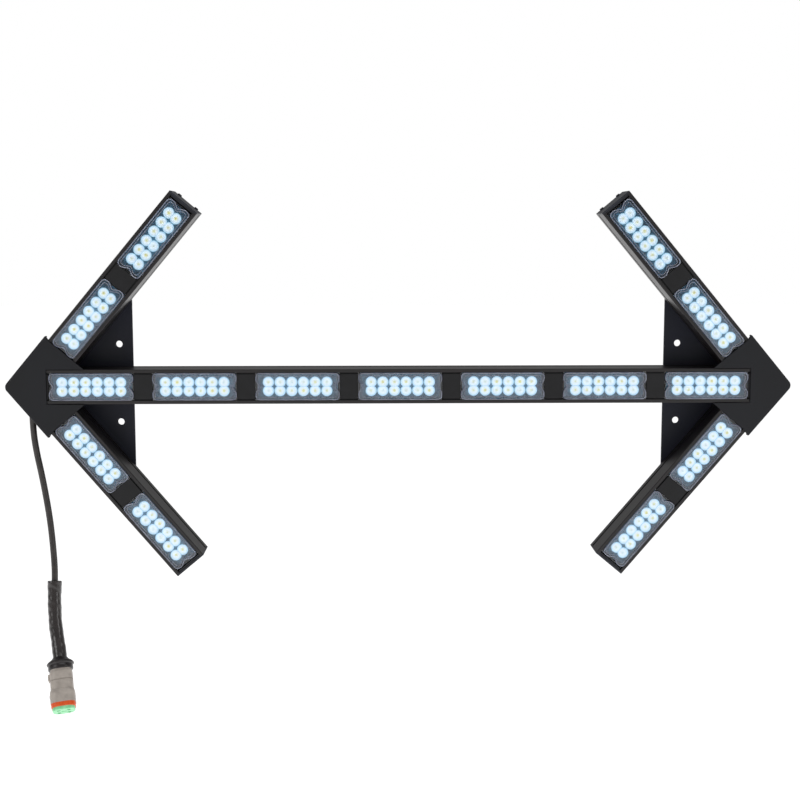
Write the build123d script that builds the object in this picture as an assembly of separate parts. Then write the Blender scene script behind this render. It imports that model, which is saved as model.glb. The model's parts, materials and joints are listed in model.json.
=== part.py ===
from build123d import *
import math
import os

# Double-headed LED arrow light bar. Millimetres, +X to the right, +Z up, the lamps face -Y.
# The origin is the centre of the four mounting holes, on the back faces of the two rear plates.

# Lamp modules: their size sets the length of every stick
lamp_len = 130.5
lens_side_gap = 0.65
lamp_gap = 28.8
bar_lamps = 7
arm_lamps = 2
tip_margin = 69.8
arm_angle = 50.0
arm_inner_margin = 12.8
arm_outer_margin = 7.8
joint_gap = 1.5

# Stick extrusion
stick_w = 54.0
stick_depth = 55.0
stick_edge_r = 1.2
lip_w = 5.2
lip_t = 3.0
wall_t = 3.0
back_t = 4.0
pocket_depth = 16.0
floor_t = 2.5
groove_at = 37.0
groove_w = 5.5
groove_d = 5.0
boss_r = 3.8
boss_side_sink = 1.1
boss_back_sink = 0.4

# Lamp module, front to back
lens_proud = 1.0
lens_window_t = 2.0
lens_wall = 2.2
lens_flange_t = 2.0
lens_corner_r = 6.0
lens_edge_r = 0.7
flange_corner_r = 3.0
notch_w = 19.0
notch_d = 6.0
notch_r = 1.6
gasket_t = 1.0
gasket_inset = 0.5
base_wall = 2.5
base_floor_t = 3.0
tray_corner_r = 1.0
board_t = 1.6
led_w = 5.0
led_t = 0.8
led_cols = 6
led_rows = 2
led_pitch = 18.1
row_pitch = 13.3
optic_r = 9.0
optic_foot_r = 4.5
optic_depth = 8.0
web_t = 1.2
web_at = 5.0
optic_leg_r = 1.5

# Blanks between the lamps
spacer_side_gap = 2.55
spacer_wall = 2.0
spacer_corner_r = 1.5

# Tip covers
cover_t = 2.5
cover_fold = 8.0
cover_overhang = 7.5
cover_tip_r = 10.0
cover_bend_r = 2.2
cover_corner_r = 2.0
cover_ear = 4.0
slot_margin = 3.5

# Rear plates and their holes
plate_t = 4.0
plate_inset = 9.5
plate_edge_at = 191.0
plate_arm_reach = 240.0
plate_corner_r = 8.0
mount_inset = 21.5
mount_half_z = 62.0
mount_hole_r = 5.25
plate_chamfer = 0.4

# Screws and posts
screw_r = 2.5
screw_head_r = 4.7
screw_head_h = 2.3
screw_len = 10.0
screw_hex = 3.0
screw_hex_depth = 1.5
bar_screw_at = 50.0
bar_screw_inset = 30.0
arm_screw_at = 24.0
arm_screw_inset = 25.0
cap_screw_r = 1.7
cap_screw_head_r = 3.4
cap_screw_head_h = 2.2
cap_screw_len = 12.0
cap_screw_edge_r = 1.0
cross_w = 0.9
cross_len = 4.0
cross_depth = 1.0
post_r = 4.0
post_bore_depth = 12.0
post_to_arm = 9.0
post_inset = 16.4

# End caps
cap_t = 3.0
cap_edge_r = 0.8
tongue_len = 2.8

# Wiring inside the sticks
harness_w = 8.0
harness_t = 5.0
harness_at = 8.0
lead_r = 1.8
lead_hole_r = 3.0
lead_at = 20.0

# Clearances
slide_gap = 0.3
seat_gap = 0.2
thread_gap = 0.05
hole_gap = 0.25
grommet_gap = 0.1

# Cable, sleeve and grommet
cable_r = 5.0
sleeve_r = 11.0
sleeve_gap = 0.3
sleeve_from = 8
grommet_flange_r = 6.8
grommet_flange_t = 2.0
grommet_neck_r = 5.9
grommet_lip_t = 1.5
grommet_tip_r = 5.6
grommet_shoulder = 0.6

# The cable's route, from the grommet's tip to the boot of the plug, and each arc's share of its runs
arc_share = 0.45
cable_points = [
    (-576.0, -33.0, -39.0),
    (-576.0, -33.0, -70.0),
    (-571.5, -33.5, -106.0),
    (-564.4, -34.5, -141.0),
    (-557.6, -36.0, -181.0),
    (-552.1, -38.5, -219.0),
    (-548.1, -42.5, -259.0),
    (-545.3, -48.0, -295.0),
    (-545.8, -54.5, -327.0),
    (-544.4, -62.5, -357.0),
    (-541.0, -71.0, -384.0),
    (-535.4, -79.5, -405.6),
    (-531.9, -90.1, -422.4),
]

# Plug: stations along its axis, measured from the end of the cable
boot_flare_at = 8.5
boot_collar_at = 12.5
boot_end = 19.0
boot_start_r = 12.4
boot_lead_at = 3.0
boot_lead_rise = 1.2
boot_flare_len = 2.0
boot_flare_r = 21.0
boot_collar_r = 19.2
boot_socket_at = 11.5
tail_r = 13.5
neck_end = 23.5
band_end = 36.0
groove_end = 37.2
waist_end = 52.0
body_end = 72.0
neck_w = 31.5
band_w = 34.5
ring_groove_w = 33.0
flare_w = 37.8
flare_root = 1.5
flare_rise = 4.0
nose_w = 29.5
plug_corner_r = 11.0
nose_corner_r = 9.0
seal_w = 36.5
seal_len = 6.5
seal_edge_r = 1.2
wedge_t = 5.0
wedge_w = 34.0
wedge_corner_r = 12.0
wedge_edge_r = 2.0
wedge_slot_depth = 2.0
wedge_slot_inset = 2.0
blade_w = 12.0
blade_t = 3.0
blade_len = 16.0
blade_room = 1.0
contact_r = 2.6
contact_pitch = 15.0
contact_start = 42.0
contact_gap = 0.4
contact_short = 2.0
contact_wall = 0.8
socket_depth = 12.0
latch_w = 12.0
latch_t = 2.1
latch_start = 25.0
latch_end = 62.0
latch_pad_len = 10.5
latch_pad_t = 2.6
latch_pad_edge_r = 1.2
latch_hook_len = 3.5
latch_room = 1.5
ridge_count = 3
ridge_start = 3.0
ridge_pitch = 2.4
ridge_r = 0.5
ridge_inset = 1.5
latch_recess = 3.75
latch_lift = 0.25
pivot_at = 44.0
pivot_boss_r = 1.8
pin_r = 1.0
pin_len = 16.0
plug_turn = -8.0

# Sizes worked out from those above
lean = math.radians(arm_angle)
mouth_w = stick_w - 2 * lip_w
lamp_w = mouth_w - 2 * lens_side_gap
spacer_w = mouth_w - 2 * spacer_side_gap
lamp_pitch = lamp_len + lamp_gap
bar_lamps_end = (bar_lamps * lamp_pitch - lamp_gap) / 2
vertex_x = bar_lamps_end + tip_margin
bar_end = vertex_x - stick_w / 2 / math.tan(lean) - (cover_t + hole_gap + joint_gap / 2)
arm_centre = cover_overhang + stick_w / 2
arm_start = (stick_w / 2 + joint_gap + (cover_overhang + stick_w) * math.cos(lean)) / math.sin(lean)
arm_lamps_start = arm_start + arm_inner_margin
arm_end = arm_lamps_start + arm_lamps * lamp_pitch - lamp_gap + arm_outer_margin
front_y = -(plate_t + stick_depth)
pocket_w = stick_w - 2 * wall_t
duct_neck_at = groove_at - wall_t
duct_w = pocket_w - 2 * groove_d
duct_end = stick_depth - back_t
flange_w = pocket_w - 2 * slide_gap
lens_flange_at = lip_t + seat_gap
gasket_at = lens_flange_at + lens_flange_t
base_at = gasket_at + gasket_t
board_at = pocket_depth - base_floor_t - board_t
led_at = board_at - led_t
optic_at = led_at - seat_gap - optic_depth
boss_z = duct_w / 2 + boss_side_sink - boss_r
boss_at = duct_end + boss_back_sink - boss_r
cover_reach = arm_lamps_start - 2 * slide_gap
slot_x = bar_lamps_end + slot_margin
mount_x = vertex_x - plate_edge_at + mount_inset
plug_tail_at = boot_socket_at + slide_gap
nose_end = body_end + seal_len
grommet_taper = -cable_points[0][2] - stick_w / 2 - grommet_flange_t
latch_floor = latch_recess - band_w / 2
pivot_out = latch_floor - pivot_boss_r - slide_gap

# How cylinders, cones and boxes stand on their frames
up = (Align.CENTER, Align.CENTER, Align.MIN)
down = (Align.CENTER, Align.CENTER, Align.MAX)


def depth_slab(start, end, width):
    """Rectangle in a stick's section, between two depths behind its front face."""
    return Pos(front_y + (start + end) / 2, 0) * Rectangle(end - start, width)


def layer(sketch, start, end):
    """Solid with the given front outline, between two depths behind the sticks' front face."""
    return Pos(0, front_y + end, 0) * extrude(Plane.XZ * sketch, end - start, dir=(0, -1, 0))


def drill(x, z, radius, start, end):
    """Cylinder that runs front to back between two depths."""
    return layer(Pos(x, z) * Circle(radius), start, end)


def rounded(width, height, radius):
    """Rounded rectangle whose corner radius never reaches half its shorter side."""
    return RectangleRounded(width, height, min(radius, 0.48 * width, 0.48 * height))


def save(name, pieces):
    """Write one node. A list becomes separate solids in one file."""
    shape = Compound(children=list(pieces)) if isinstance(pieces, list) else pieces
    export_step(shape, "parts/" + name + ".step")


def arm_frame(side, tier):
    """Frame at an arm's centreline, X pointing outwards from the arrow's tip."""
    turn = arm_angle if side < 0 else 180 - arm_angle
    tip = Pos(side * vertex_x, 0, 0) * Rot(0, -tier * turn, 0)
    return tip * Pos(0, 0, side * tier * arm_centre)


# Every stick: its frame, where it starts and ends, and the centres of its lamps
half_bar = (bar_lamps - 1) / 2
bar_centres = [(i - half_bar) * lamp_pitch for i in range(bar_lamps)]
arm_centres = [arm_lamps_start + lamp_len / 2 + i * lamp_pitch for i in range(arm_lamps)]
sticks = {"bar": (Pos(0, 0, 0), -bar_end, bar_end, bar_centres)}
for tier, tier_name in ((1, "upper"), (-1, "lower")):
    for side, side_name in ((-1, "left"), (1, "right")):
        arm_name = tier_name + "_" + side_name
        sticks[arm_name] = (arm_frame(side, tier), arm_start, arm_end, arm_centres)

# Where the frame screws go, along each stick
bar_screw_insets = [bar_screw_at, plate_edge_at - bar_screw_inset]
bar_screws = [side * (vertex_x - inset) for side in (-1, 1) for inset in bar_screw_insets]
arm_screws = [arm_start + arm_screw_at, plate_arm_reach - arm_screw_inset]


def stick_section():
    """Section of the extrusion: lipped pocket in front, wiring duct behind, a groove in each side."""
    outer = Pos(front_y + stick_depth / 2, 0) * RectangleRounded(stick_depth, stick_w, stick_edge_r)
    floor_end = pocket_depth + floor_t
    section = outer - depth_slab(-1, lip_t, mouth_w)
    section -= depth_slab(lip_t, pocket_depth, pocket_w)
    section -= depth_slab(floor_end, duct_neck_at, pocket_w)
    section -= depth_slab(duct_neck_at - 1, duct_end, duct_w)
    for side in (-1, 1):
        section -= Pos(0, side * stick_w / 2) * depth_slab(groove_at, groove_at + groove_w, 2 * groove_d)
        section += Pos(front_y + boss_at, side * boss_z) * Circle(boss_r)
    for side in (-1, 1):
        section -= Pos(front_y + boss_at, side * boss_z) * Circle(cap_screw_r + thread_gap)
    return section


def stick(start, end, centres, screws):
    """One stick between its two end caps, with its lead holes and tapped screw holes."""
    length = end - start - 2 * cap_t
    body = Pos(start + cap_t, 0, 0) * extrude(Plane.YZ * stick_section(), length)
    for centre in centres:
        body -= drill(centre + lead_at, harness_at, lead_hole_r, pocket_depth - 1, pocket_depth + floor_t + 1)
    for place in screws:
        body -= drill(place, 0, screw_r + thread_gap, duct_end - 1, stick_depth + 1)
    return body


def lens_outline(length, width, radius):
    """Long rectangle with rounded corners and a V notch in the middle of each end."""
    right = [
        (length / 2, -width / 2),
        (length / 2, -notch_w / 2),
        (length / 2 - notch_d, 0),
        (length / 2, notch_w / 2),
        (length / 2, width / 2),
    ]
    left = [(-x, -z) for x, z in right]
    shape = Polygon(*(right + left), align=None)
    outer = [v for v in shape.vertices() if abs(abs(v.Y) - width / 2) < 0.01]
    shape = fillet(outer, radius)
    inner = [v for v in shape.vertices() if abs(v.Y) < notch_w / 2 + 0.01]
    return fillet(inner, notch_r)


def lens():
    """Clear cover: lobed window, hollow rim, and a flange that sits under the lips."""
    body = layer(lens_outline(lamp_len, lamp_w, lens_corner_r), -lens_proud, gasket_at)
    body = fillet(body.faces().sort_by(Axis.Y)[0].edges(), lens_edge_r)
    body += layer(rounded(lamp_len, flange_w, flange_corner_r), lens_flange_at, gasket_at)
    hollow = lens_outline(lamp_len - 2 * lens_wall, lamp_w - 2 * lens_wall, lens_corner_r - lens_wall)
    return body - layer(hollow, lens_window_t - lens_proud, gasket_at + 1)


def gasket():
    """Flat seal between lens and tray."""
    outer_r = flange_corner_r - gasket_inset
    ring = rounded(lamp_len - 2 * gasket_inset, flange_w - 2 * gasket_inset, outer_r)
    ring -= rounded(lamp_len - 2 * base_wall, flange_w - 2 * base_wall, tray_corner_r)
    return layer(ring, gasket_at, base_at)


def lamp_base():
    """Open tray that holds the board, with a hole for the lead."""
    tray = layer(rounded(lamp_len, flange_w, flange_corner_r), base_at, pocket_depth)
    inside = rounded(lamp_len - 2 * base_wall, flange_w - 2 * base_wall, tray_corner_r)
    return tray - layer(inside, base_at - 1, pocket_depth - base_floor_t)


def board():
    """Circuit board, lying on the tray's floor."""
    fit = 2 * (base_wall + slide_gap)
    return layer(rounded(lamp_len - fit, flange_w - fit, tray_corner_r), board_at, board_at + board_t)


def led_grid():
    """Centres of the LEDs in a lamp."""
    half_cols = (led_cols - 1) / 2
    half_rows = (led_rows - 1) / 2
    return [
        ((col - half_cols) * led_pitch, (row - half_rows) * row_pitch)
        for col in range(led_cols)
        for row in range(led_rows)
    ]


def leds():
    """LED packages on the board."""
    return [layer(Pos(x, z) * Rectangle(led_w, led_w), led_at, board_at) for x, z in led_grid()]


def optics():
    """One moulding of twelve cone-shaped optics on a web with four legs."""
    web_len = (led_cols - 1) * led_pitch + 2 * optic_r
    web_w = (led_rows - 1) * row_pitch + 2 * optic_r
    body = layer(rounded(web_len, web_w, optic_r), optic_at + web_at, optic_at + web_at + web_t)
    for x, z in led_grid():
        cone = Rot(90, 0, 0) * Cone(optic_foot_r, optic_r, optic_depth)
        body += Pos(x, front_y + optic_at + optic_depth / 2, z) * cone
    leg_x = led_pitch * (led_cols / 2 - 1)
    for x in (-leg_x, 0, leg_x):
        body += drill(x, 0, optic_leg_r, optic_at + web_at, board_at)
    return body


def blank(length):
    """Black filler that slides in under the lips, hollow at the back."""
    body = layer(rounded(length, flange_w, spacer_corner_r), lens_flange_at, pocket_depth)
    body += layer(rounded(length, spacer_w, spacer_corner_r), seat_gap, lens_flange_at)
    hollow = Rectangle(length - 2 * spacer_wall, flange_w - 2 * spacer_wall)
    return body - layer(hollow, lens_flange_at + spacer_wall, pocket_depth + 1)


def end_cap():
    """Cap with a tongue that holds the lamps; its outer face is at x = 0."""
    outline = Pos(front_y + stick_depth / 2, 0) * RectangleRounded(stick_depth, stick_w, stick_edge_r)
    tongue_end = pocket_depth - seat_gap
    tongue = depth_slab(lip_t + seat_gap, tongue_end, pocket_w - 2 * slide_gap)
    body = Pos(-cap_t, 0, 0) * extrude(Plane.YZ * outline, cap_t)
    body = fillet(body.faces().sort_by(Axis.X)[-1].edges(), cap_edge_r)
    body += Pos(-cap_t - tongue_len, 0, 0) * extrude(Plane.YZ * tongue, tongue_len)
    for side in (-1, 1):
        hole = Rot(0, 90, 0) * Cylinder(cap_screw_r + hole_gap, 4 * cap_t)
        body -= Pos(0, front_y + boss_at, side * boss_z) * hole
    return body


def cap_screws():
    """The two pan-head screws of a cap."""
    head = Cylinder(cap_screw_head_r, cap_screw_head_h, align=up)
    head = fillet(head.edges().sort_by(Axis.Z)[-1], cap_screw_edge_r)
    slot = Pos(0, 0, cap_screw_head_h) * Box(cross_w, cross_len, 2 * cross_depth)
    cross = slot + Rot(0, 0, 90) * slot
    screw = head + Cylinder(cap_screw_r, cap_screw_len, align=down) - cross
    return [Pos(0, front_y + boss_at, side * boss_z) * Rot(0, 90, 0) * screw for side in (-1, 1)]


def on_left_arm(along, inward):
    """Point in front view: distance along the upper left arm from the tip, and in from its outer line."""
    x = along * math.cos(lean) + inward * math.sin(lean) - vertex_x
    return x, along * math.sin(lean) - inward * math.cos(lean)


def head_outline(reach, ear):
    """Arrowhead outline of the left head, cut square across both arms, with an ear over each outer lip."""
    shoulder = on_left_arm(reach + ear, 0)
    step = on_left_arm(reach, cover_overhang + lip_w)
    waist = on_left_arm(reach, reach * math.tan(lean))
    upper = [shoulder, step, waist]
    lower = [(step[0], -step[1]), (shoulder[0], -shoulder[1])]
    return Polygon(*([(-vertex_x, 0)] + upper + lower), align=None)


def tip_cover():
    """Folded cover plate of the left head, slotted round the bar's end lamp."""
    outline = head_outline(cover_reach, cover_ear)
    tip = outline.vertices().sort_by(Axis.X)[0]
    outline = fillet(tip, cover_tip_r)
    corners = outline.vertices().sort_by(Axis.Y)
    outline = fillet([corners[0], corners[-1]], cover_corner_r)
    body = layer(outline, -cover_t, cover_fold - cover_t)
    front = body.faces().sort_by(Axis.Y)[0]
    folds = []
    for edge in front.edges():
        middle = edge.position_at(0.5)
        out = middle.X + vertex_x
        along = out * math.cos(lean) + abs(middle.Z) * math.sin(lean)
        inward = out * math.sin(lean) - abs(middle.Z) * math.cos(lean)
        if inward < cover_tip_r / 2 and along < 0.9 * cover_reach:
            folds.append(edge)
    body = fillet(folds, cover_bend_r)
    inner = Pos(cover_t / math.sin(lean), 0) * head_outline(cover_reach + 2 * cover_ear, 0)
    body -= layer(inner, 0, cover_fold)
    slot = Rectangle(2 * plate_edge_at, stick_w + 2 * slide_gap, align=(Align.MIN, Align.CENTER))
    return body - layer(Pos(-slot_x, 0) * slot, -2 * cover_t, cover_fold)


def rear_plate():
    """Gusset plate behind the left head, with countersunk, mounting and post holes."""
    edge_x = plate_edge_at - vertex_x
    tip = (plate_inset / math.sin(lean) - vertex_x, 0)
    far = on_left_arm(plate_arm_reach, plate_inset)
    near = (edge_x, (plate_arm_reach - plate_edge_at * math.cos(lean)) / math.sin(lean))
    upper = [tip, far, near]
    lower = [(near[0], -near[1]), (far[0], -far[1])]
    outline = Polygon(*(upper + lower), align=None)
    outline = fillet(outline.vertices(), plate_corner_r)
    body = layer(outline, stick_depth, stick_depth + plate_t)
    body = chamfer(body.faces().sort_by(Axis.Y)[0].edges(), plate_chamfer)
    for side in (-1, 1):
        body -= drill(-mount_x, side * mount_half_z, mount_hole_r, stick_depth - 1, stick_depth + plate_t + 1)
    for place in screw_places(-1):
        body -= place * countersink
    return body


def screw_solid():
    """Countersunk socket screw, its head flush with y = 0 and its shank towards the front."""
    body = Cone(screw_head_r, screw_r, screw_head_h, align=up) + Cylinder(screw_r, screw_len, align=up)
    socket = extrude(RegularPolygon(screw_hex / 2, 6, major_radius=False), screw_hex_depth)
    return Rot(90, 0, 0) * (body - socket)


def countersink_solid():
    """Clearance hole and countersink for one frame screw."""
    cone = Cone(screw_head_r + hole_gap, screw_r + hole_gap, screw_head_h + hole_gap, align=up)
    return Rot(90, 0, 0) * (cone + Cylinder(screw_r + hole_gap, 2 * plate_t, align=up))


def post_places(side):
    """Frames of a head's two cover posts, on the rear plate's back face."""
    along = arm_start - post_to_arm - post_r
    shift = post_inset - arm_centre
    return [arm_frame(side, tier) * Pos(along, 0, side * tier * shift) for tier in (-1, 1)]


def screw_places(side):
    """Frames of a head's frame screws: two in the bar, two in each arm, one in each post."""
    places = [Pos(x, 0, 0) for x in bar_screws if x * side > 0]
    for tier in (-1, 1):
        places += [arm_frame(side, tier) * Pos(s, 0, 0) for s in arm_screws]
    return places + post_places(side)


def post():
    """Round post between rear plate and tip cover, tapped at the back."""
    bore = drill(0, 0, screw_r + thread_gap, stick_depth - post_bore_depth, stick_depth + 1)
    return drill(0, 0, post_r, 0, stick_depth) - bore


def harness(start, end, centres):
    """Flat harness on the duct's back wall and one lead up to each lamp."""
    inset = cap_t + cap_screw_len
    run = Box(end - start - 2 * inset, harness_t, harness_w)
    wall_y = front_y + duct_end
    pieces = [Pos((start + end) / 2, wall_y - harness_t / 2, harness_at) * run]
    for centre in centres:
        pieces.append(drill(centre + lead_at, harness_at, lead_r, pocket_depth, duct_end - harness_t))
    return pieces


# Cable path: straight runs joined by arcs as large as the runs allow
def corner_radii(points):
    """Radius of the arc at each inner point of a route."""
    radii = []
    for before, here, after in zip(points, points[1:], points[2:]):
        run_in = Vector(here) - Vector(before)
        run_out = Vector(after) - Vector(here)
        half_turn = math.radians(run_in.get_angle(run_out)) / 2
        radii.append(arc_share * min(run_in.length, run_out.length) / math.tan(half_turn))
    return radii


def tube(points, radii, section):
    """Sweep a section along a route, starting square to its first run."""
    path = FilletPolyline(*points, radius=radii)
    start = Plane(origin=path @ 0, z_dir=path % 0)
    return sweep(start * section, path=path)


def grommet():
    """Rubber grommet in the bar's lower wall, tapering down to the cable."""
    tip_x, tip_y, tip_z = cable_points[0]
    body = Cone(grommet_tip_r, grommet_flange_r - grommet_shoulder, grommet_taper, align=up)
    body += Pos(0, 0, grommet_taper) * Cylinder(grommet_flange_r, grommet_flange_t, align=up)
    top = grommet_taper + grommet_flange_t
    body += Pos(0, 0, top) * Cylinder(grommet_neck_r, wall_t, align=up)
    body += Pos(0, 0, top + wall_t) * Cylinder(grommet_flange_r, grommet_lip_t, align=up)
    return Pos(tip_x, tip_y, tip_z) * body


def square_run(width, corner, start, end):
    """Rounded square stretch of the plug, between two stations along its axis."""
    return Pos(0, 0, start) * extrude(rounded(width, width, corner), end - start)


def boot():
    """Flared rubber boot over the plug's tail."""
    profile = Polyline(
        (0, 0),
        (boot_start_r, 0),
        (boot_start_r + boot_lead_rise, boot_lead_at),
        (boot_flare_r, boot_flare_at),
        (boot_flare_r, boot_flare_at + boot_flare_len),
        (boot_collar_r, boot_collar_at),
        (boot_collar_r, boot_end),
        (0, boot_end),
        (0, 0),
    )
    body = revolve(Plane.XZ * make_face(profile), Axis.Z)
    return body - Pos(0, 0, boot_socket_at) * Cylinder(tail_r + slide_gap, boot_end, align=up)


def contact_spots():
    """Centres of the four contacts, across the plug's axis."""
    half = contact_pitch / 2
    return [(x, y) for x in (-half, half) for y in (-half, half)]


def plug_body():
    """Grey body of the plug: tail, neck, band, waist, flare and nose."""
    body = Pos(0, 0, plug_tail_at) * Cylinder(tail_r, neck_end - plug_tail_at, align=up)
    body += square_run(neck_w, plug_corner_r, boot_end, neck_end)
    body += square_run(band_w, plug_corner_r, neck_end, band_end)
    body += square_run(ring_groove_w, plug_corner_r, band_end, groove_end)
    body += square_run(band_w, plug_corner_r, groove_end, waist_end)
    root_w = band_w + flare_root
    lower = Pos(0, 0, waist_end) * rounded(root_w, root_w, plug_corner_r)
    upper = Pos(0, 0, waist_end + flare_rise) * rounded(flare_w, flare_w, plug_corner_r)
    body += loft([lower, upper])
    body += square_run(flare_w, plug_corner_r, waist_end + flare_rise, body_end)
    body += square_run(nose_w, nose_corner_r, body_end, nose_end)
    slot_len = blade_len + blade_room
    slot = Box(blade_w + 2 * slide_gap, blade_t + 2 * slide_gap, slot_len, align=up)
    body -= Pos(0, 0, nose_end - slot_len) * slot
    cavity = nose_end - contact_start
    for x, y in contact_spots():
        body -= Pos(x, y, contact_start) * Cylinder(contact_r + contact_gap, cavity + 1, align=up)
    recess_start = neck_end - latch_room
    recess_len = latch_end + latch_room - recess_start
    inwards = (Align.MAX, Align.CENTER, Align.MIN)
    recess = Box(flare_w, latch_w + 2 * slide_gap, recess_len, align=inwards)
    body -= Pos(latch_floor, 0, recess_start) * recess
    return body - pivot_pin(pin_r + thread_gap)


def pivot_pin(radius):
    """The latch's pin, across the recess."""
    return Pos(pivot_out, 0, pivot_at) * Rot(90, 0, 0) * Cylinder(radius, pin_len)


def latch():
    """Rocker latch: arm in the recess, thumb pad over the band, hook at the front."""
    outer_x = -band_w / 2 + latch_lift
    out = (Align.MIN, Align.CENTER, Align.MIN)
    body = Pos(outer_x, 0, latch_start) * Box(latch_t, latch_w, latch_end - latch_start, align=out)
    pad = Box(latch_pad_t, latch_w, latch_pad_len, align=(Align.MAX, Align.CENTER, Align.MIN))
    pad = fillet(pad.edges().filter_by(Axis.Y).group_by(Axis.X)[0], latch_pad_edge_r)
    body += Pos(outer_x, 0, latch_start) * pad
    for ridge in range(ridge_count):
        at = latch_start + ridge_start + ridge * ridge_pitch
        bump = Rot(90, 0, 0) * Cylinder(ridge_r, latch_w - 2 * ridge_inset)
        body += Pos(outer_x - latch_pad_t, 0, at) * bump
    hook = Box(latch_pad_t, latch_w, latch_hook_len, align=(Align.MAX, Align.CENTER, Align.MAX))
    body += Pos(outer_x, 0, latch_end) * hook
    body += Pos(pivot_out, 0, pivot_at) * Rot(90, 0, 0) * Cylinder(pivot_boss_r, latch_w)
    return body - pivot_pin(pin_r + thread_gap)


def seal():
    """Orange seal round the nose."""
    ring = square_run(seal_w, plug_corner_r, body_end, body_end + seal_len)
    ring = fillet(ring.edges().filter_by(Plane.XY).group_by(Axis.Z)[-1], seal_edge_r)
    return ring - square_run(nose_w, nose_corner_r, body_end - 1, body_end + seal_len + 1)


def wedge():
    """Green lock: a plate over the nose and a blade that slides into the body."""
    plate = square_run(wedge_w, wedge_corner_r, nose_end, nose_end + wedge_t)
    plate = fillet(plate.edges().filter_by(Plane.XY).group_by(Axis.Z)[-1], wedge_edge_r)
    body = plate + Pos(0, 0, nose_end - blade_len) * Box(blade_w, blade_t, blade_len, align=up)
    for x, y in contact_spots():
        body -= Pos(x, y, nose_end - 1) * Cylinder(contact_r + contact_gap, wedge_t + 2, align=up)
    slot = Box(blade_w - 2 * wedge_slot_inset, blade_t, 2 * wedge_slot_depth, align=up)
    return body - Pos(0, 0, nose_end + wedge_t - wedge_slot_depth) * slot


def contacts():
    """Four socket contacts, each seated on the floor of its cavity."""
    length = nose_end - contact_start - contact_short
    bore = Cylinder(contact_r - contact_wall, socket_depth, align=up)
    barrel = Cylinder(contact_r, length, align=up) - Pos(0, 0, length + contact_short - socket_depth) * bore
    return [Pos(x, y, contact_start) * barrel for x, y in contact_spots()]


os.makedirs("parts", exist_ok=True)
countersink = countersink_solid()

# Sticks and what they hold
spacers = []
end_blanks = []
boards = []
emitters = []
optic_arrays = []
gaskets = []
loom = []
caps = []
small_screws = []
lens_shape = lens()
base_shape = lamp_base()
optics_shape = optics()
cap_shape = end_cap()
spacer_shape = blank(lamp_gap - 2 * seat_gap)
for name, (frame, start, end, centres) in sticks.items():
    screws = bar_screws if name == "bar" else arm_screws
    body = stick(start, end, centres, screws)
    node = "bar_housing" if name == "bar" else "arm_housing_" + name
    if name == "bar":
        exit_x, exit_y, exit_z = cable_points[0]
        body -= Pos(exit_x, exit_y, -stick_w / 2) * Cylinder(grommet_neck_r + grommet_gap, 3 * wall_t)
    save(node, frame * body)
    for number, centre in enumerate(centres, start=1):
        place = frame * Pos(centre, 0, 0)
        save("lens_" + name + "_" + str(number), place * lens_shape)
        save("lamp_base_" + name + "_" + str(number), place * base_shape)
        boards.append(place * board())
        emitters += [place * led for led in leds()]
        optic_arrays.append(place * optics_shape)
        gaskets.append(place * gasket())
    for left, right in zip(centres, centres[1:]):
        spacers.append(frame * Pos((left + right) / 2, 0, 0) * spacer_shape)
    for edge, flip, lamp_edge in (
        (start, 180, centres[0] - lamp_len / 2),
        (end, 0, centres[-1] + lamp_len / 2),
    ):
        caps.append(frame * Pos(edge, 0, 0) * Rot(0, flip, 0) * cap_shape)
        small_screws += [frame * Pos(edge, 0, 0) * Rot(0, flip, 0) * screw for screw in cap_screws()]
        room = abs(edge - lamp_edge) - cap_t - tongue_len
        if room > 2 * spacer_wall:
            middle = (lamp_edge + edge + math.copysign(cap_t + tongue_len, lamp_edge - edge)) / 2
            end_blanks.append(frame * Pos(middle, 0, 0) * blank(room - 2 * seat_gap))
    loom += [frame * piece for piece in harness(start, end, centres)]
save("spacers", spacers)
save("end_blanks", end_blanks)
save("circuit_boards", boards)
save("led_emitters", emitters)
save("optic_arrays", optic_arrays)
save("lens_gaskets", gaskets)
save("wiring_loom", loom)
save("end_caps", caps)
save("end_cap_screws", small_screws)

# Heads: cover, rear plate, posts and frame screws
cover = tip_cover()
plate = rear_plate()
save("tip_cover_left", cover)
save("tip_cover_right", mirror(cover, Plane.YZ))
save("rear_plate_left", plate)
save("rear_plate_right", mirror(plate, Plane.YZ))
save("tip_standoffs", [place * post() for side in (-1, 1) for place in post_places(side)])
save("frame_screws", [place * screw_solid() for side in (-1, 1) for place in screw_places(side)])

# Cable and sleeve
radii = corner_radii(cable_points)
print("cable radii", [round(radius, 1) for radius in radii])
save("cable_grommet", grommet())
cable = tube(cable_points, radii, Circle(cable_r))
save("power_cable", cable)
run_start = Vector(cable_points[sleeve_from - 1])
run_end = Vector(cable_points[sleeve_from])
sleeve_points = [(run_start + run_end) / 2] + cable_points[sleeve_from:]
sleeve_radii = radii[sleeve_from - 1 :]
outer_tube = tube(sleeve_points, sleeve_radii, Circle(sleeve_r))
inner_tube = tube(sleeve_points, sleeve_radii, Circle(cable_r + sleeve_gap))
save("shrink_sleeve", outer_tube - inner_tube)
cable_length = FilletPolyline(*cable_points, radius=radii).length
sleeve_length = FilletPolyline(*sleeve_points, radius=sleeve_radii).length
cable_bulk = math.pi * cable_r**2 * cable_length
print("cable length", round(cable_length, 1), "volume ratio", round(cable.volume / cable_bulk, 4))
print("sleeve length", round(sleeve_length, 1))

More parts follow.
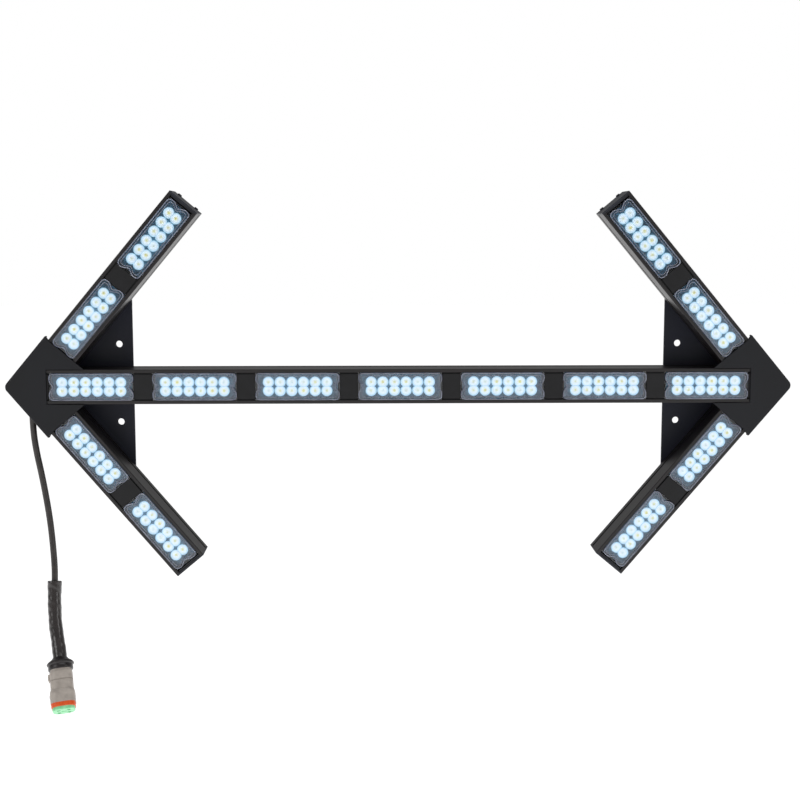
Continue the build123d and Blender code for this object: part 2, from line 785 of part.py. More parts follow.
# Plug, on the axis of the cable's last run
plug_origin = Vector(cable_points[-1])
plug_axis = (plug_origin - Vector(cable_points[-2])).normalized()
plug_frame = Plane(origin=plug_origin, x_dir=(1, 0, 0), z_dir=plug_axis).location * Rot(0, 0, plug_turn)
save("plug_boot", plug_frame * boot())
save("plug_body", plug_frame * plug_body())
save("plug_latch", plug_frame * latch())
save("latch_pin", plug_frame * pivot_pin(pin_r))
save("plug_seal", plug_frame * seal())
save("wedge_lock", plug_frame * wedge())
save("plug_contacts", [plug_frame * contact for contact in contacts()])
pivot = plug_frame * Pos(pivot_out, 0, pivot_at)
print("plug axis", [round(value, 4) for value in plug_axis])
print("latch pivot", [round(value, 2) for value in pivot.position])
pivot_line = (plug_frame * Pos(0, 1, 0)).position - plug_frame.position
print("latch axis", [round(value, 4) for value in pivot_line])
print("mounting holes at x", round(mount_x, 2), "z", mount_half_z)
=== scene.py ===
import json
import math
import bpy
import numpy as np
from mathutils import Euler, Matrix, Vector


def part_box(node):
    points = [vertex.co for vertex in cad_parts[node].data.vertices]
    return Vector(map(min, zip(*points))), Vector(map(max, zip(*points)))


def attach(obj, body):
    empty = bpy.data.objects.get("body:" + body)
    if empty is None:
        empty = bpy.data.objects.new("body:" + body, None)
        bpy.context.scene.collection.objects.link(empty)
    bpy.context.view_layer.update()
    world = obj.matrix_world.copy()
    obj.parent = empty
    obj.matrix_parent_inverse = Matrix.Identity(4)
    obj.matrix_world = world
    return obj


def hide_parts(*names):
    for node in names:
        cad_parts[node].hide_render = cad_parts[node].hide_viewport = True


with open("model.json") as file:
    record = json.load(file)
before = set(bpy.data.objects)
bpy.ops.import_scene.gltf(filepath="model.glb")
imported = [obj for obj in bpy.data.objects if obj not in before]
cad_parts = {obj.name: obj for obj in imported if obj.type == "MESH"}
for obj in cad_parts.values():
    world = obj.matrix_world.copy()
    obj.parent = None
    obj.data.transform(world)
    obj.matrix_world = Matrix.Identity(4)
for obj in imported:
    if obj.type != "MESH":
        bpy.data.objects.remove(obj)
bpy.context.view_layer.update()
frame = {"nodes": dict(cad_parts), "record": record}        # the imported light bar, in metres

rootBody = "light_bar_frame"
mm = 0.001
scene = bpy.context.scene
scene.view_settings.view_transform = "Standard"


# small helpers

def linearColour(code):
    # sRGB hex to linear RGBA
    channels = [int(code[i:i + 2], 16) / 255 for i in (1, 3, 5)]
    linear = [c / 12.92 if c <= 0.04045 else ((c + 0.055) / 1.055) ** 2.4 for c in channels]
    return linear + [1.0]


def addNode(material, kind, settings=None, links=None):
    # one node with its settings (socket, property or ramp stops) and the outputs that feed it
    tree = material.node_tree
    node = tree.nodes.new(kind)
    for key, value in (settings or {}).items():
        if key == "stops":
            while len(node.color_ramp.elements) < len(value):
                node.color_ramp.elements.new(0.5)
            for element, (position, code) in zip(node.color_ramp.elements, value):
                element.position = position
                element.color = linearColour(code)
        elif isinstance(key, int) or key in node.inputs:
            node.inputs[key].default_value = value
        else:
            setattr(node, key, value)
    for key, source in (links or {}).items():
        tree.links.new(source, node.inputs[key])
    return node


def newMaterial(name):
    material = bpy.data.materials.new(name)
    material.use_nodes = True
    material.node_tree.nodes.clear()
    return material


def setMaterial(target, material):
    target.data.materials.clear()
    target.data.materials.append(material)


# camera

view = {
    "place": (-0.044, -2.087, 0.238),
    "pitch": -7.07,
    "yaw": -1.23,
    "lens": 59.18,
}
cameraData = bpy.data.cameras.new("viewCamera")
cameraData.lens = view["lens"]
cameraData.sensor_width = 36
camera = bpy.data.objects.new("viewCamera", cameraData)
camera.location = view["place"]
camera.rotation_euler = Euler((math.radians(90 + view["pitch"]), 0, math.radians(view["yaw"])))
scene.collection.objects.link(camera)
scene.camera = camera
print("camera set")


# cable, sleeve and boot

cableSpec = {
    "points": [
        (-0.5760, -0.0330, -0.0390),
        (-0.5760, -0.0330, -0.0700),
        (-0.5715, -0.0335, -0.1060),
        (-0.5644, -0.0345, -0.1410),
        (-0.5576, -0.0360, -0.1810),
        (-0.5521, -0.0385, -0.2190),
        (-0.5481, -0.0425, -0.2590),
        (-0.5453, -0.0480, -0.2950),
        (-0.5458, -0.0545, -0.3270),
        (-0.5444, -0.0625, -0.3570),
        (-0.5410, -0.0710, -0.3840),
        (-0.5354, -0.0795, -0.4056),
        (-0.5319, -0.0901, -0.4224),
    ],
    "diameter": 0.010,
    "length": 0.395,
}


def cordCurve(name, points, radius):
    curve = bpy.data.curves.new(name, "CURVE")
    curve.dimensions = "3D"
    curve.resolution_u = 10
    curve.bevel_depth = radius
    curve.bevel_resolution = 6
    curve.use_fill_caps = True
    spline = curve.splines.new("NURBS")
    spline.points.add(len(points) - 1)
    flat = np.column_stack([np.array(points), np.ones(len(points))])
    spline.points.foreach_set("co", flat.ravel())
    spline.order_u = 3
    spline.use_endpoint_u = True
    piece = bpy.data.objects.new(name, curve)
    scene.collection.objects.link(piece)
    return piece


def centreLine(piece):
    # points along the cord's own spline, read from the curve without its bevel
    bare = piece.copy()
    bare.data = piece.data.copy()
    bare.data.bevel_depth = 0
    scene.collection.objects.link(bare)
    bpy.context.view_layer.update()
    depsgraph = bpy.context.evaluated_depsgraph_get()
    mesh = bpy.data.meshes.new_from_object(bare.evaluated_get(depsgraph))
    line = np.empty(len(mesh.vertices) * 3)
    mesh.vertices.foreach_get("co", line)
    bpy.data.meshes.remove(mesh)
    bpy.data.objects.remove(bare)
    return line.reshape(-1, 3)


def gridMesh(name, grid, smooth=True, uv=None):
    # closed surface from a grid of points that wraps round in both directions
    rows, columns, _ = grid.shape
    index = np.arange(rows * columns).reshape(rows, columns)
    down = np.roll(index, -1, axis=0)
    across = np.roll(index, -1, axis=1)
    corner = np.roll(down, -1, axis=1)
    faces = np.stack([index, across, corner, down], axis=-1).reshape(-1, 4)
    return meshFrom(name, grid.reshape(-1, 3), faces, smooth, uv)


def meshFrom(name, points, faces, smooth=True, uv=None):
    mesh = bpy.data.meshes.new(name)
    mesh.vertices.add(len(points))
    mesh.vertices.foreach_set("co", np.ascontiguousarray(points, dtype=np.float32).ravel())
    mesh.loops.add(faces.size)
    mesh.loops.foreach_set("vertex_index", np.ascontiguousarray(faces, dtype=np.int32).ravel())
    mesh.polygons.add(len(faces))
    mesh.polygons.foreach_set("loop_start", np.arange(len(faces), dtype=np.int32) * faces.shape[1])
    mesh.polygons.foreach_set("use_smooth", np.full(len(faces), smooth))
    if uv is not None:
        layer = mesh.uv_layers.new(name="surface")
        layer.data.foreach_set("uv", np.ascontiguousarray(uv[faces.ravel()], dtype=np.float32).ravel())
    mesh.update(calc_edges=True)
    mesh.validate()
    piece = bpy.data.objects.new(name, mesh)
    scene.collection.objects.link(piece)
    return piece


def unit(vectors):
    return vectors / np.linalg.norm(vectors, axis=-1, keepdims=True)


def crossFrame(tangents):
    # two directions square to each tangent, steady along a mostly vertical path
    side = unit(np.cross(tangents, np.array([0.0, 1.0, 0.0])))
    return side, np.cross(tangents, side)


def tubeGrid(line, outerRadius, innerRadius, segments):
    # ring of points round each path point, outer wall down and inner wall back up:
    # point = centre + radius * (cos(angle) * side + sin(angle) * front)
    tangents = unit(np.gradient(line, axis=0))
    side, front = crossFrame(tangents)
    angle = np.linspace(0, 2 * math.pi, segments, endpoint=False)
    ring = side[:, None] * np.cos(angle)[None, :, None] + front[:, None] * np.sin(angle)[None, :, None]
    outer = line[:, None] + ring * outerRadius
    inner = line[:, None] + ring * innerRadius
    return np.concatenate([outer, inner[::-1]])


cable = cordCurve("powerCable", cableSpec["points"], cableSpec["diameter"] / 2)
cableLine = centreLine(cable)
cableSteps = np.linalg.norm(np.diff(cableLine, axis=0), axis=1)
cableRun = np.concatenate([[0], np.cumsum(cableSteps)])
print("cable laid, length", round(float(cableRun[-1]), 4))

sleeveSpec = {
    "length": 0.122,
    "radius": 0.0109,
    "rows": 150,
    "segments": 48,
    "wrinkle": 0.00022,
}


def shrinkSleeve(spec):
    # radius = sleeve + two slow waves along and round it, pulled in a little at the open end
    along = np.linspace(cableRun[-1] - spec["length"], cableRun[-1] - 0.0002, spec["rows"])
    line = np.column_stack([np.interp(along, cableRun, cableLine[:, axis]) for axis in range(3)])
    kernel = np.ones(9) / 9
    smooth = np.column_stack([np.convolve(line[:, axis], kernel, "same") for axis in range(3)])
    line[6:-6] = smooth[6:-6]
    t = np.linspace(0, 1, spec["rows"])[:, None]
    angle = np.linspace(0, 2 * math.pi, spec["segments"], endpoint=False)[None, :]
    wave = np.sin(t * 23 + 2 * np.sin(angle)) + 0.6 * np.sin(t * 61 + 3 * angle)
    flare = 0.0004 * np.exp(-t / 0.03) - 0.0010 * np.exp(-t / 0.006)
    belly = 0.0005 * np.sin(t * math.pi)
    radius = spec["radius"] + spec["wrinkle"] * wave + flare - belly
    inner = np.full_like(radius, 0.0052)
    grid = tubeGrid(line, radius[..., None], inner[..., None], spec["segments"])
    return gridMesh("shrinkSleeve", grid)


def plugAxes():
    # the plug's frame: z along the cable's last run, x as near to the row's X as it can be
    ends = np.array(cableSpec["points"][-2:])
    z = unit(ends[1] - ends[0])
    y = unit(np.cross(z, np.array([1.0, 0.0, 0.0])))
    return ends[1], np.cross(y, z), y, z


def turned(name, profile, segments):
    # closed profile (radius, station) carried round the plug's axis
    origin, x, y, z = plugAxes()
    angle = np.linspace(0, 2 * math.pi, segments, endpoint=False)
    spoke = x[None] * np.cos(angle)[:, None] + y[None] * np.sin(angle)[:, None]
    radius = profile[:, 0][:, None, None]
    station = profile[:, 1][:, None, None]
    grid = origin + spoke[None] * radius + z * station
    return gridMesh(name, grid)


bootSpec = {
    "neck": 12.2,
    "flare": 20.8,
    "collar": 19.0,
    "length": 19.0,
    "bore": 13.8,
    "segments": 72,
}


def plugBoot(spec):
    # outside: neck, swelling to the flare, a step, then the collar; inside: the bore and the cable hole
    swell = np.linspace(0, 1, 14)
    rise = spec["neck"] + (spec["flare"] - spec["neck"]) * (0.5 - 0.5 * np.cos(swell * math.pi)) ** 0.85
    outside = np.column_stack([rise, 0.2 + swell * 9.3])
    rim = np.array([
        (spec["flare"] - 0.1, 10.2), (spec["flare"] - 0.8, 10.9), (spec["collar"] + 0.1, 11.5),
        (spec["collar"] - 0.3, 12.2), (spec["collar"], 12.8), (spec["collar"], 15.2),
        (spec["collar"] + 0.12, 16.6), (spec["collar"] - 0.05, 18.2), (spec["collar"] - 0.5, 18.95),
    ])
    inside = np.array([
        (spec["bore"] + 0.4, 18.98), (spec["bore"], 18.6), (spec["bore"], 12.0), (5.3, 11.6), (5.3, 0.4), (8.5, 0.12),
        (11.6, 0.1),
    ])
    profile = np.concatenate([outside, rim, inside]) * mm
    return turned("plugBoot", profile, spec["segments"])


sleeve = shrinkSleeve(sleeveSpec)
boot = plugBoot(bootSpec)
print("sleeve and boot made")


# optics

lampSpec = {
    "columns": 6,
    "columnPitch": 18.1,
    "rowPitch": 13.3,
    "radius": 9.0,
    "foot": 4.5,
    "segments": 20,
}
armAngle = 50.0
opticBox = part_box("optic_arrays")
opticFront = opticBox[0][1] / mm
opticBack = opticBox[1][1] / mm


def lampFrames():
    # centre and length direction of every lamp, from its lens node's box
    frames = []
    for name in sorted(frame["nodes"]):
        if not name.startswith("lens_") or name == "lens_gaskets":
            continue
        low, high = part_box(name)
        centre = (np.array(low) + np.array(high)) / 2 / mm
        if name.startswith("lens_bar"):
            tilt = 0.0
        else:
            rising = name.startswith("lens_upper_left") or name.startswith("lens_lower_right")
            tilt = math.radians(armAngle if rising else -armAngle)
        frames.append((centre[0], centre[2], tilt))
    return np.array(frames)


def opticCup(spec):
    # radial profile (radius, depth behind the front): outer cone, rim, stepped rings, centre bead
    return np.array([
        (spec["foot"], 8.0), (spec["radius"], 0.5), (spec["radius"] - 0.5, 0.0), (7.3, 0.3),
        (6.9, 1.5), (5.4, 1.1), (4.9, 2.0), (3.4, 2.1), (2.4, 1.2), (0.9, 0.7), (0.0, 0.6),
    ])


def opticArrays(spec):
    # every cup = profile carried round its own centre, cut flat where its twin in the next row begins
    profile = opticCup(spec)
    angle = np.linspace(0, 2 * math.pi, spec["segments"], endpoint=False)
    ringX = profile[:, 0][:, None] * np.cos(angle)
    ringZ = profile[:, 0][:, None] * np.sin(angle)
    depth = np.broadcast_to(profile[:, 1][:, None], ringX.shape)
    column = (np.arange(spec["columns"]) - (spec["columns"] - 1) / 2) * spec["columnPitch"]
    row = np.array([-0.5, 0.5]) * spec["rowPitch"]
    centreX, centreZ = [c.ravel() for c in np.meshgrid(column, row)]
    lamps = lampFrames()
    half = spec["rowPitch"] / 2
    sign = np.sign(centreZ)[:, None, None]
    localX = centreX[:, None, None] + ringX
    localZ = centreZ[:, None, None] + sign * np.maximum(sign * ringZ, -half)
    cos = np.cos(lamps[:, 2])[:, None, None, None]
    sin = np.sin(lamps[:, 2])[:, None, None, None]
    x = lamps[:, 0][:, None, None, None] + localX * cos - localZ * sin
    z = lamps[:, 1][:, None, None, None] + localX * sin + localZ * cos
    y = np.broadcast_to(opticFront + depth, x.shape)
    points = np.stack([x, y, z], axis=-1).reshape(-1, len(profile), spec["segments"], 3)
    cups = len(points)
    rows, columns = len(profile), spec["segments"]
    index = np.arange(rows * columns).reshape(rows, columns)
    here, below = index[:-1], index[1:]
    quads = np.stack([here, np.roll(here, -1, 1), np.roll(below, -1, 1), below], -1).reshape(-1, 4)
    faces = (quads[None] + (np.arange(cups) * rows * columns)[:, None, None]).reshape(-1, 4)
    flatUv = np.stack([ringX, ringZ], -1) / spec["radius"]
    uv = np.broadcast_to(flatUv[None], (cups,) + flatUv.shape).reshape(-1, 2)
    shade = np.repeat(np.random.default_rng(7).random(cups), rows * columns)
    piece = meshFrom("opticCups", points.reshape(-1, 3) * mm, faces, True, uv)
    tint = piece.data.attributes.new("tint", "FLOAT", "POINT")
    tint.data.foreach_set("value", shade[:len(piece.data.vertices)].astype(np.float32))
    return piece


optics = opticArrays(lampSpec)
print("optics made", len(optics.data.polygons))

rimSpec = {
    "length": 130.5,
    "width": 42.3,
    "cornerRadius": 6.0,
    "notchWidth": 19.0,
    "notchDepth": 6.0,
    "insets": (0.9, 4.6),      # how far each bead's centre lies inside the lens edge
    "beads": (0.75, 0.45),     # their half widths
    "steps": 192,
    "segments": 8,
}


def lobedLoop(spec, inset):
    # one quarter of the outline (V notch, side, corner arc, top edge) mirrored twice,
    # spaced evenly along its length and averaged over a few steps to round the notch
    halfLength = spec["length"] / 2 - inset
    halfWidth = spec["width"] / 2 - inset
    radius = max(spec["cornerRadius"] - inset * 0.5, 2.0)
    turn = np.linspace(0, math.pi / 2, 9)
    arc = np.column_stack([halfLength - radius + radius * np.cos(turn), halfWidth - radius + radius * np.sin(turn)])
    notch = np.array([(halfLength - spec["notchDepth"], 0.0), (halfLength, spec["notchWidth"] / 2)])
    quarter = np.concatenate([notch, arc])
    half = np.concatenate([quarter, quarter[::-1] * (-1, 1)])
    loop = np.concatenate([half, half[1:-1][::-1] * (1, -1), half[:1]])
    run = np.concatenate([[0], np.cumsum(np.linalg.norm(np.diff(loop, axis=0), axis=1))])
    even = np.linspace(0, run[-1], spec["steps"], endpoint=False)
    line = np.column_stack([np.interp(even, run, loop[:, axis]) for axis in range(2)])
    return (np.roll(line, 1, 0) + 2 * line + np.roll(line, -1, 0)) / 4


def lensRimHighlightBeads(spec, front):
    # the beads are pale pieces put on the lens face to carry a painted highlight along each lens edge
    # every bead = a small round section carried round the lobed loop, half sunk in the lens face:
    # point = loop + bead * cos(angle) * outward, depth = front - 0.6 * bead * sin(angle)
    angle = np.linspace(0, 2 * math.pi, spec["segments"], endpoint=False)
    grids = []
    for inset, bead in zip(spec["insets"], spec["beads"]):
        loop = lobedLoop(spec, inset)
        along = np.roll(loop, -1, 0) - np.roll(loop, 1, 0)
        outward = unit(np.column_stack([along[:, 1], -along[:, 0]]))
        flat = loop[:, None] + outward[:, None] * (bead * np.cos(angle))[None, :, None]
        depth = np.broadcast_to(front - 0.6 * bead * np.sin(angle), flat.shape[:2])
        for x, z, tilt in lampFrames():
            cos, sin = math.cos(tilt), math.sin(tilt)
            across = x + flat[..., 0] * cos - flat[..., 1] * sin
            upward = z + flat[..., 0] * sin + flat[..., 1] * cos
            grids.append(np.stack([across, depth, upward], -1))
    points = np.stack(grids)
    rows, columns = points.shape[1:3]
    index = np.arange(rows * columns).reshape(rows, columns)
    right = np.roll(index, -1, 0)
    quads = np.stack([index, np.roll(index, -1, 1), np.roll(right, -1, 1), right], -1).reshape(-1, 4)
    faces = (quads[None] + (np.arange(len(grids)) * rows * columns)[:, None, None]).reshape(-1, 4)
    return meshFrom("lensRimHighlightBeads", points.reshape(-1, 3) * mm, faces)


rims = lensRimHighlightBeads(rimSpec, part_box("lens_bar_4")[0][1] / mm + 0.1)
print("lens rims made", len(rims.data.polygons))


# materials

def finishSurface(material, settings, links):
    shader = addNode(material, "ShaderNodeBsdfPrincipled", settings, links)
    addNode(material, "ShaderNodeOutputMaterial", links={"Surface": shader.outputs["BSDF"]})
    return material


def grainAndPatches(material, spec):
    # slow patches drive colour and gloss, fine grain drives the bump
    point = addNode(material, "ShaderNodeTexCoord").outputs["Object"]
    patches = addNode(material, "ShaderNodeTexNoise", {"Scale": 1 / (spec["patchMm"] * mm), "Detail": 4.0},
                      {"Vector": point}).outputs["Fac"]
    grain = addNode(material, "ShaderNodeTexNoise", {"Scale": 1 / (spec["grainMm"] * mm), "Detail": 2.0},
                    {"Vector": point}).outputs["Fac"]
    colour = addNode(material, "ShaderNodeValToRGB", {"stops": [(0.3, spec["dark"]), (0.7, spec["light"])]},
                     {"Fac": patches}).outputs["Color"]
    low, high = spec["rough"]
    rough = addNode(material, "ShaderNodeMapRange", {"To Min": low, "To Max": high}, {"Value": patches})
    bump = addNode(material, "ShaderNodeBump", {"Distance": spec["bumpMm"] * mm}, {"Height": grain})
    return {"Base Color": colour, "Roughness": rough.outputs["Result"], "Normal": bump.outputs["Normal"]}


def texturedFinish(name, spec):
    material = newMaterial(name)
    settings = {"Metallic": spec.get("metallic", 0.0), "Specular IOR Level": spec.get("specular", 0.5)}
    settings["Coat Weight"] = spec.get("coat", 0.0)
    settings["Coat Roughness"] = spec.get("coatRough", 0.1)
    return finishSurface(material, settings, grainAndPatches(material, spec))


finishes = {
    # polyester powder coat on extruded aluminium: fine orange peel, satin
    "housing_black": ("satinPowderCoatExtrusion", {
        "dark": "#0c0a0b", "light": "#171214", "patchMm": 60, "grainMm": 1.3, "bumpMm": 0.05,
        "rough": (0.30, 0.42), "specular": 0.5}),
    # the same coat on folded sheet: flatter and a little duller
    "cover_black": ("satinPowderCoatSheet", {
        "dark": "#06070c", "light": "#0b0d14", "patchMm": 80, "grainMm": 1.6, "bumpMm": 0.05,
        "rough": (0.42, 0.55), "specular": 0.35}),
    # steel gusset plate, dark coat with a blue cast
    "plate_black": ("darkCoatedSteelPlate", {
        "dark": "#0d0f1b", "light": "#141727", "patchMm": 70, "grainMm": 1.8, "bumpMm": 0.05,
        "rough": (0.45, 0.6), "specular": 0.35}),
    "cap_black": ("blackCoatedDieCasting", {
        "dark": "#10121a", "light": "#1a1e2a", "patchMm": 25, "grainMm": 0.9, "bumpMm": 0.06,
        "rough": (0.35, 0.5), "specular": 0.5}),
    # glass-filled nylon: matt with a spark-eroded grain
    "blank_black": ("mouldedBlackNylon", {
        "dark": "#09090b", "light": "#121215", "patchMm": 15, "grainMm": 0.6, "bumpMm": 0.05,
        "rough": (0.45, 0.6), "specular": 0.35}),
    # black moulded tray, tinted blue as a painted glow from the lamps
    "lamp_black": ("trayPaintedBlueGlow", {
        "dark": "#080f1a", "light": "#12233a", "patchMm": 40, "grainMm": 0.7, "bumpMm": 0.04,
        "rough": (0.3, 0.45), "specular": 0.4}),
    "gasket_rubber": ("blackSiliconeGasket", {
        "dark": "#0a0a0b", "light": "#121213", "patchMm": 8, "grainMm": 0.5, "bumpMm": 0.03,
        "rough": (0.5, 0.6)}),
    # solder-mask board, tinted teal as a painted glow from the lamps
    "board_dark": ("boardPaintedTealGlow", {
        "dark": "#24485c", "light": "#4f8ba4", "patchMm": 6, "grainMm": 1.2, "bumpMm": 0.03,
        "rough": (0.25, 0.4)}),
    "led_yellow": ("phosphorPackage", {
        "dark": "#d8b53c", "light": "#f2dc7a", "patchMm": 3, "grainMm": 0.4, "bumpMm": 0.02,
        "rough": (0.4, 0.5)}),
    "loom_black": ("loomSheath", {
        "dark": "#0a0a0a", "light": "#141414", "patchMm": 10, "grainMm": 1.0, "bumpMm": 0.05,
        "rough": (0.45, 0.6)}),
    "post_steel": ("blackPlatedPost", {
        "dark": "#15151a", "light": "#25252c", "patchMm": 10, "grainMm": 0.5, "bumpMm": 0.02,
        "rough": (0.3, 0.4), "metallic": 1.0}),
    # black oxide on turned steel: thin, slightly oily
    "screw_steel": ("blackOxideScrew", {
        "dark": "#2a2a2e", "light": "#46464c", "patchMm": 3, "grainMm": 0.3, "bumpMm": 0.02,
        "rough": (0.28, 0.4), "metallic": 1.0}),
    "boot_rubber": ("mouldedBlackRubber", {
        "dark": "#171314", "light": "#262122", "patchMm": 9, "grainMm": 0.8, "bumpMm": 0.04,
        "rough": (0.22, 0.36), "specular": 0.5}),
    # moulded thermoplastic with fine spark texture
    "plug_grey": ("warmGreyThermoplastic", {
        "dark": "#a39a92", "light": "#b9b0a7", "patchMm": 10, "grainMm": 0.5, "bumpMm": 0.03,
        "rough": (0.38, 0.5)}),
    "pin_steel": ("bareSteelPin", {
        "dark": "#8d8d8d", "light": "#b5b5b5", "patchMm": 2, "grainMm": 0.3, "bumpMm": 0.01,
        "rough": (0.2, 0.3), "metallic": 1.0}),
    "seal_orange": ("orangeSiliconeSeal", {
        "dark": "#dd4a12", "light": "#f2611c", "patchMm": 5, "grainMm": 0.4, "bumpMm": 0.02,
        "rough": (0.35, 0.5)}),
    "lock_green": ("paleGreenThermoplastic", {
        "dark": "#7fd79a", "light": "#a5ecb9", "patchMm": 6, "grainMm": 0.5, "bumpMm": 0.02,
        "rough": (0.3, 0.42)}),
    "contact_brass": ("nickelPlatedContact", {
        "dark": "#b8ab8c", "light": "#d3c9ad", "patchMm": 2, "grainMm": 0.3, "bumpMm": 0.01,
        "rough": (0.2, 0.3), "metallic": 1.0}),
}


lensSpec = {
    "colour": "#dfeaf6",
    "ior": 1.586,
    "specular": 0.22,      # below plain plastic's 0.5: chosen so that the trays stay dark behind the lens
    "waveMm": 7.0,
    "waveDepthMm": 0.05,
    "rough": (0.02, 0.07),
}


def clearPolycarbonate(spec):
    # moulded polycarbonate: glossy and clear, with very slight flow waves
    material = newMaterial("clearPolycarbonate")
    point = addNode(material, "ShaderNodeTexCoord").outputs["Object"]
    waves = addNode(material, "ShaderNodeTexNoise", {"Scale": 1 / (spec["waveMm"] * mm), "Detail": 2.0},
                    {"Vector": point}).outputs["Fac"]
    bump = addNode(material, "ShaderNodeBump", {"Distance": spec["waveDepthMm"] * mm}, {"Height": waves})
    rough = addNode(material, "ShaderNodeMapRange", {"To Min": spec["rough"][0], "To Max": spec["rough"][1]},
                    {"Value": waves})
    settings = {"Base Color": linearColour(spec["colour"]), "IOR": spec["ior"], "Transmission Weight": 1.0,
                "Specular IOR Level": spec["specular"]}
    return finishSurface(material, settings, {"Normal": bump.outputs["Normal"], "Roughness": rough.outputs["Result"]})


# painted highlight colours for the lens edge beads
rimHighlightSpec = {"dark": "#6d7289", "light": "#9aa0b6", "patchMm": 9, "grainMm": 1.4, "bumpMm": 0.04, "rough": (0.12, 0.25)}


def paintedRimHighlight(spec):
    # pale grey-lilac beads along the lens edges: a painted highlight for the light the lens's thick edge gathers
    material = newMaterial("paintedRimHighlight")
    settings = {"IOR": 1.586, "Transmission Weight": 0.35, "Coat Weight": 0.3}
    return finishSurface(material, settings, grainAndPatches(material, spec))


collimatorGlowSpec = {
    "ior": 1.49,
    "rings": 30.0,
    # painted glow: both ramps run from near white in the middle to painted shade at the rim
    "warm": [(0.0, "#e3cf6e"), (0.2, "#f3e6a6"), (0.36, "#fffdf2"), (0.66, "#f4fafc"), (0.88, "#cfe6ee"), (1.0, "#86b3c4")],
    "cool": [(0.0, "#dfe6da"), (0.22, "#f4f8f8"), (0.4, "#ffffff"), (0.68, "#eef7fb"), (0.88, "#c4e0ea"), (1.0, "#7aaabd")],
}


def collimatorPaintedGlow(spec):
    # injection-moulded acrylic with ring bumps; the ramps are a painted glow, bright in the middle and darker towards
    # the rim as painted shade, warmer on some cups by a random amount where the phosphor shows through, and the same
    # colour drives emission, a painted glow on cups that are no lamp
    material = newMaterial("collimatorPaintedGlow")
    place = addNode(material, "ShaderNodeUVMap", {"uv_map": "surface"}).outputs["UV"]
    radius = addNode(material, "ShaderNodeVectorMath", {"operation": "LENGTH"}, {0: place}).outputs["Value"]
    rings = addNode(material, "ShaderNodeMath", {"operation": "MULTIPLY", 1: spec["rings"]}, {0: radius}).outputs[0]
    wave = addNode(material, "ShaderNodeMath", {"operation": "SINE"}, {0: rings}).outputs[0]
    tint = addNode(material, "ShaderNodeAttribute", {"attribute_name": "tint"}).outputs["Fac"]
    cool = addNode(material, "ShaderNodeValToRGB", {"stops": spec["cool"]}, {"Fac": radius}).outputs["Color"]
    warm = addNode(material, "ShaderNodeValToRGB", {"stops": spec["warm"]}, {"Fac": radius}).outputs["Color"]
    mixed = addNode(material, "ShaderNodeMix", {"data_type": "RGBA"}, {0: tint, 6: cool, 7: warm}).outputs[2]
    bump = addNode(material, "ShaderNodeBump", {"Strength": 0.6, "Distance": 0.12 * mm}, {"Height": wave})
    # the emission paints a glow on the cups, which are no lamp
    settings = {"Roughness": 0.12, "IOR": spec["ior"], "Transmission Weight": 0.15, "Emission Strength": 0.6,
                "Coat Weight": 0.5}
    links = {"Base Color": mixed, "Emission Color": mixed, "Normal": bump.outputs["Normal"]}
    return finishSurface(material, settings, links)


sheathSpec = {"dark": "#1c1816", "light": "#332d2a", "patchMm": 14, "grainMm": 1.1, "bumpMm": 0.05, "rough": (0.28, 0.42)}


def rubberCableSheath(spec):
    # extruded rubber sheath: faint drag marks and a soft shine
    material = newMaterial("rubberCableSheath")
    return finishSurface(material, {"Specular IOR Level": 0.6}, grainAndPatches(material, spec))


tubingSpec = {"dark": "#1a1615", "light": "#2c2625", "foldMm": 5.0, "foldDepthMm": 0.5, "patchMm": 20, "rough": (0.18, 0.32)}


def heatShrinkTubing(spec):
    # glossy polyolefin heat-shrink: long soft wrinkles and a wet-looking shine
    material = newMaterial("heatShrinkTubing")
    point = addNode(material, "ShaderNodeTexCoord").outputs["Object"]
    stretched = addNode(material, "ShaderNodeMapping", {"Scale": (1, 1, 0.25)}, {"Vector": point}).outputs["Vector"]
    folds = addNode(material, "ShaderNodeTexNoise", {"Scale": 1 / (spec["foldMm"] * mm), "Detail": 3.0},
                    {"Vector": stretched}).outputs["Fac"]
    patches = addNode(material, "ShaderNodeTexNoise", {"Scale": 1 / (spec["patchMm"] * mm), "Detail": 3.0},
                      {"Vector": point}).outputs["Fac"]
    colour = addNode(material, "ShaderNodeValToRGB", {"stops": [(0.3, spec["dark"]), (0.7, spec["light"])]},
                     {"Fac": patches}).outputs["Color"]
    rough = addNode(material, "ShaderNodeMapRange", {"To Min": spec["rough"][0], "To Max": spec["rough"][1]},
                    {"Value": folds}).outputs["Result"]
    bump = addNode(material, "ShaderNodeBump", {"Distance": spec["foldDepthMm"] * mm}, {"Height": folds})
    settings = {"Specular IOR Level": 0.6, "Coat Weight": 0.4, "Coat Roughness": 0.12}
    return finishSurface(material, settings, {"Base Color": colour, "Roughness": rough, "Normal": bump.outputs["Normal"]})


materials = {slot: texturedFinish(name, spec) for slot, (name, spec) in finishes.items()}
materials["lens_clear"] = clearPolycarbonate(lensSpec)
materials["optic_clear"] = collimatorPaintedGlow(collimatorGlowSpec)
materials["cable_black"] = rubberCableSheath(sheathSpec)
materials["sleeve_black"] = heatShrinkTubing(tubingSpec)
slotOfNode = {entry["node"]: entry["material_slot"] for entry in frame["record"]["subparts"]}
for name, node in frame["nodes"].items():
    setMaterial(node, materials[slotOfNode[name]])
print("materials made", len(materials))

newPieces = (
    (cable, "power_cable", "cable_black"),
    (sleeve, "shrink_sleeve", "sleeve_black"),
    (boot, "plug_boot", "boot_rubber"),
    (optics, "optic_arrays", "optic_clear"),
)
for piece, node, slot in newPieces:
    setMaterial(piece, materials[slot])
    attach(piece, rootBody)
    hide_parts(node)
setMaterial(rims, paintedRimHighlight(rimHighlightSpec))
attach(rims, rootBody)


# floor and light

floorSpec = {"height": -0.66, "reach": 14.0}


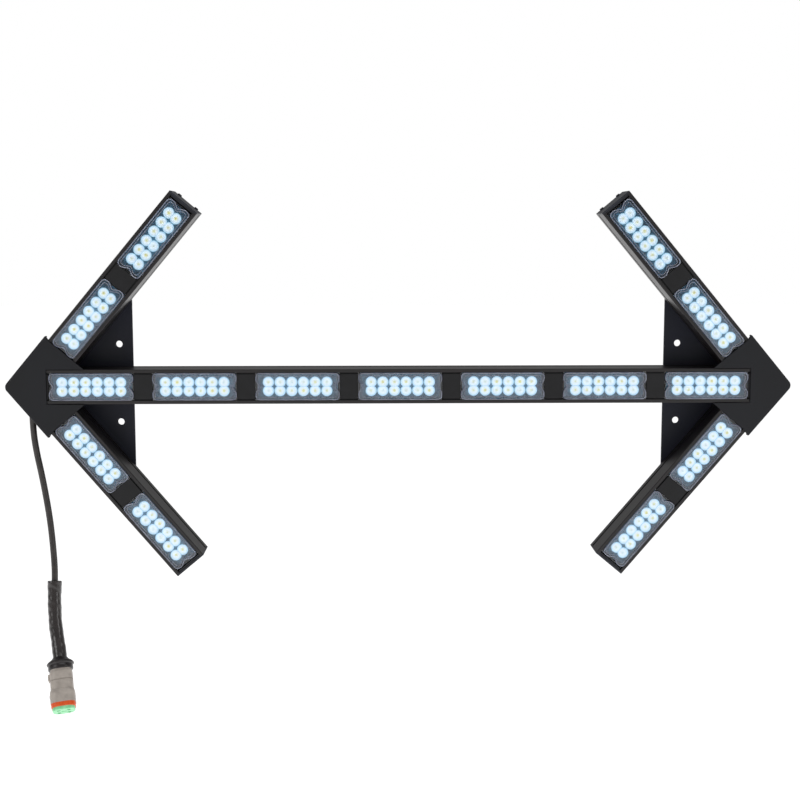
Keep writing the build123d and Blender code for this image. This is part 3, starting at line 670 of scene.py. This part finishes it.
def paleFloor(spec):
    # flat square grid well below the hanging plug
    x, y = np.meshgrid(np.linspace(-1, 1, 9), np.linspace(-1, 1, 9))
    points = np.stack([x * spec["reach"], y * spec["reach"], np.full_like(x, spec["height"])], -1).reshape(-1, 3)
    index = np.arange(81).reshape(9, 9)
    faces = np.stack([index[:-1, :-1], index[:-1, 1:], index[1:, 1:], index[1:, :-1]], -1).reshape(-1, 4)
    return meshFrom("paleFloor", points, faces, False)


floor = paleFloor(floorSpec)
floorFinish = texturedFinish("matteFloorPaint", {
    "dark": "#f4f4f4", "light": "#fbfbfb", "patchMm": 900, "grainMm": 8, "bumpMm": 0.05, "rough": (0.7, 0.8)})
for node in floorFinish.node_tree.nodes:
    if node.type == "BSDF_PRINCIPLED":
        node.inputs["Emission Color"].default_value = linearColour("#ffffff")
        node.inputs["Emission Strength"].default_value = 0.75
setMaterial(floor, floorFinish)

world = bpy.data.worlds.new("softStudio")
scene.world = world
world.use_nodes = True
background = world.node_tree.nodes["Background"]
background.inputs["Color"].default_value = linearColour("#ffffff")
shown = world.node_tree.nodes.new("ShaderNodeLightPath").outputs["Is Camera Ray"]
brightness = world.node_tree.nodes.new("ShaderNodeMapRange")    # white behind the object, a third of that as light
brightness.inputs["To Min"].default_value = 0.32
brightness.inputs["To Max"].default_value = 1.0
world.node_tree.links.new(shown, brightness.inputs["Value"])
world.node_tree.links.new(brightness.outputs["Result"], background.inputs["Strength"])

lamps = {
    # name: place, aim, width, height, watts
    "topSoftbox": ((0.1, -0.5, 1.7), (0, 0, 0), 1.8, 0.9, 10),
    "leftSoftbox": ((-1.9, -1.3, 0.7), (0, 0, 0), 0.8, 1.2, 7),
    "rightSoftbox": ((1.9, -1.2, 0.5), (0, 0, 0), 0.8, 1.2, 6),
}
for name, (place, aim, width, height, watts) in lamps.items():
    light = bpy.data.lights.new(name, "AREA")
    light.shape = "RECTANGLE"
    light.size = width
    light.size_y = height
    light.energy = watts
    holder = bpy.data.objects.new(name, light)
    holder.location = place
    direction = np.array(aim) - np.array(place)
    yaw = math.atan2(direction[1], direction[0]) - math.pi / 2
    tilt = math.atan2(direction[2], math.hypot(direction[0], direction[1])) + math.pi / 2
    holder.rotation_euler = Euler((tilt, 0, yaw))
    scene.collection.objects.link(holder)
print("floor and lights set")
